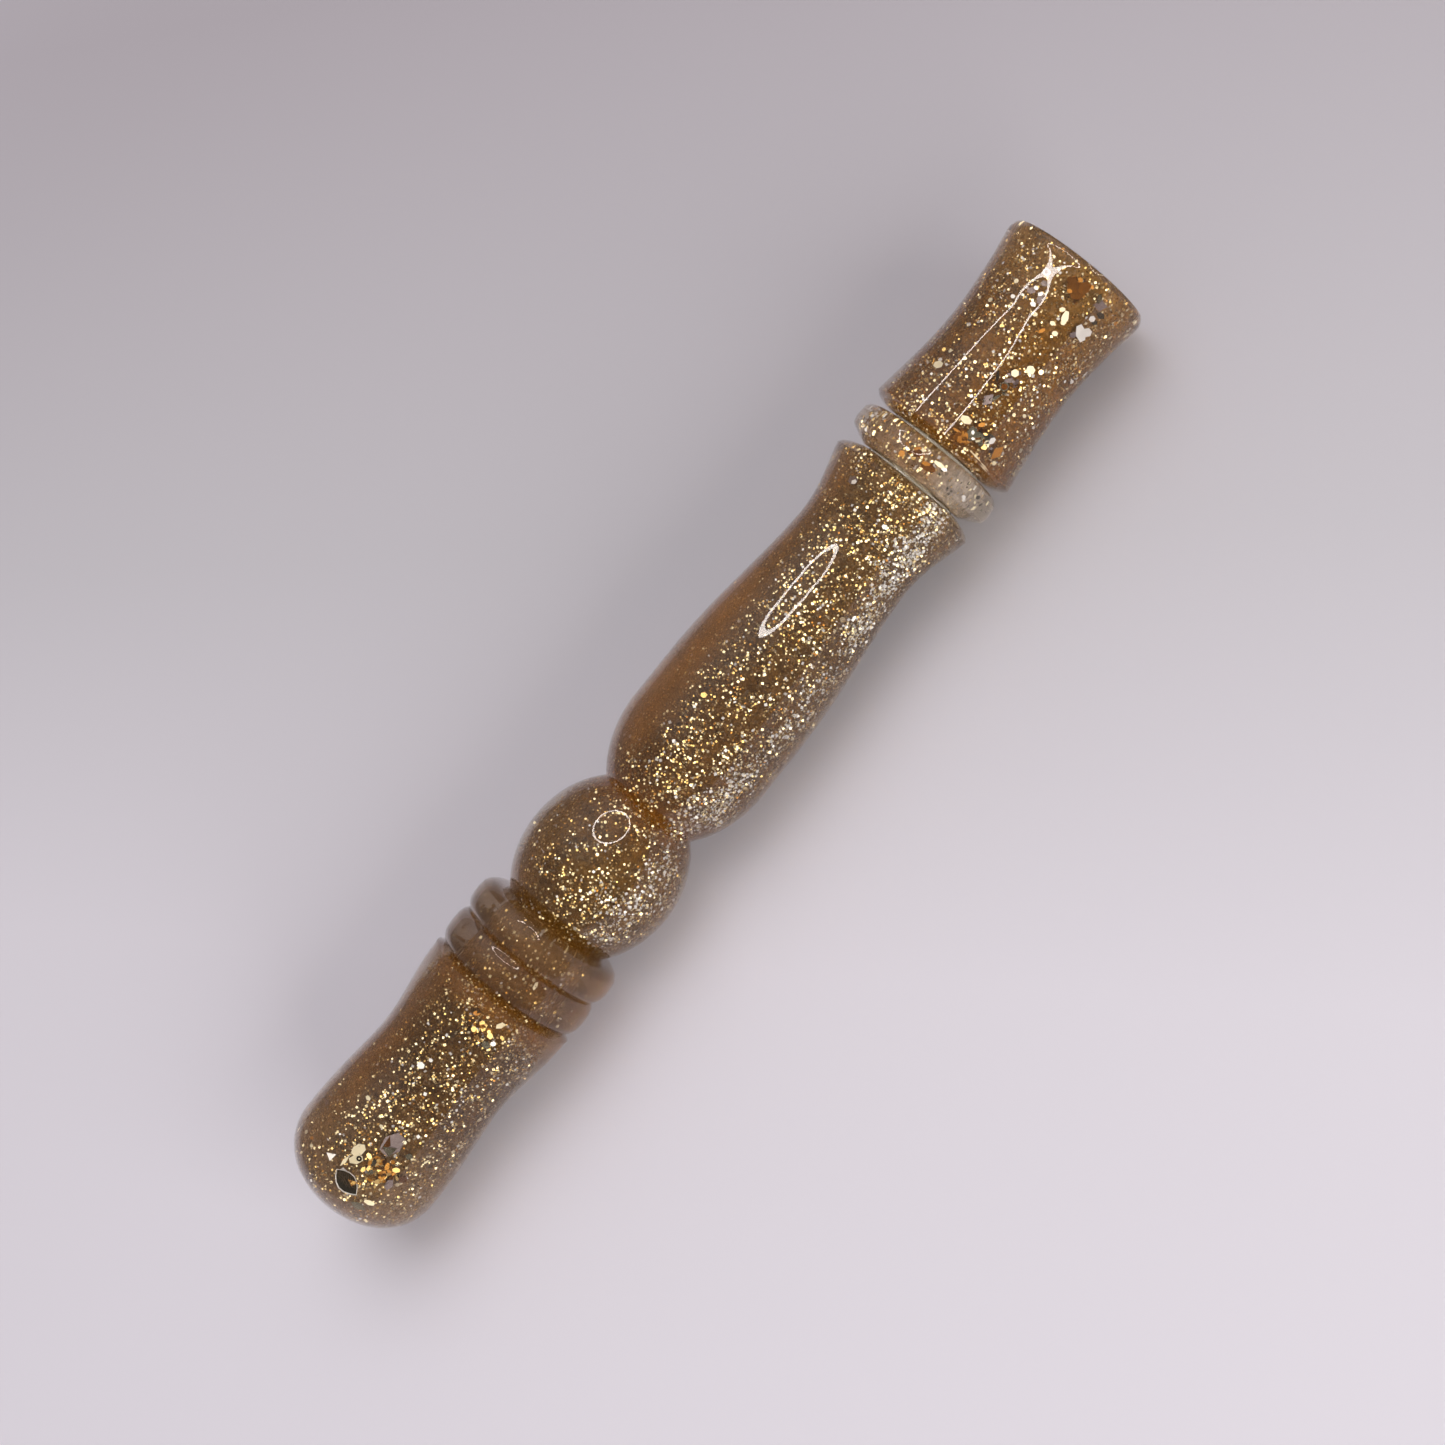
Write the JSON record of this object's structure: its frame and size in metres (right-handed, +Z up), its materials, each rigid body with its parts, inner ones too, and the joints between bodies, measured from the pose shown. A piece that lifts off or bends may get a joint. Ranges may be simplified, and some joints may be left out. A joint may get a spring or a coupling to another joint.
{
  "type": "duck call",
  "caption": "Slender turned glitter-resin duck call: bulb mouthpiece, ball and long barrel, push-in insert with ring and bell, tone board, reeds, cork wedge and O-rings.",
  "frame": {"origin": "point on the floor under the middle of the call, which lies on its side with its own axis level", "axes": "+X along the call from the mouthpiece to the bell, +Z up, away from the floor; the tone board's flat faces +Z"},
  "size_m": [0.1804, 0.0256, 0.0255],
  "materials": {
    "glitter_resin": "polished cast resin, pale amber, packed with gold and silver glitter",
    "clear_moulding": "clear moulded polycarbonate with a satin surface",
    "mylar": "thin frosted polyester film",
    "cork": "sanded cork",
    "nitrile": "black nitrile rubber"
  },
  "bodies": {
    "barrel": {"barrel": "glitter_resin"},
    "seals": {"o_ring_front": "nitrile", "o_ring_rear": "nitrile"},
    "insert": {"tone_tube": "clear_moulding", "collar_ring": "glitter_resin", "end_bell": "glitter_resin", "wedge": "cork"},
    "reed_lower": {"reed_lower": "mylar"},
    "reed_upper": {"reed_upper": "mylar"}
  },
  "joints": [
    {"name": "insert_pull", "type": "slide", "parent": "barrel", "child": "seals", "axis": [1, 0, 0], "range_m": [0, 0.06]},
    {"name": "insert_turn", "type": "hinge", "parent": "seals", "child": "insert", "pos_m": [0, 0, 0.01277], "axis": [1, 0, 0], "continuous": true},
    {"name": "reed_lower_flex", "type": "hinge", "parent": "insert", "child": "reed_lower", "pos_m": [0.03189, 0, 0.01392], "axis": [0, 1, 0], "range_deg": [-1.4, 1.5], "stiffness_Nm_per_rad": 0.004},
    {"name": "reed_upper_flex", "type": "hinge", "parent": "insert", "child": "reed_upper", "pos_m": [0.03189, 0, 0.01392], "axis": [0, 1, 0], "range_deg": [-1.4, 1.5], "stiffness_Nm_per_rad": 0.004}
  ],
  "couplings": [
    {"joint": "reed_upper_flex", "follows": "reed_lower_flex", "ratio": 1}
  ]
}
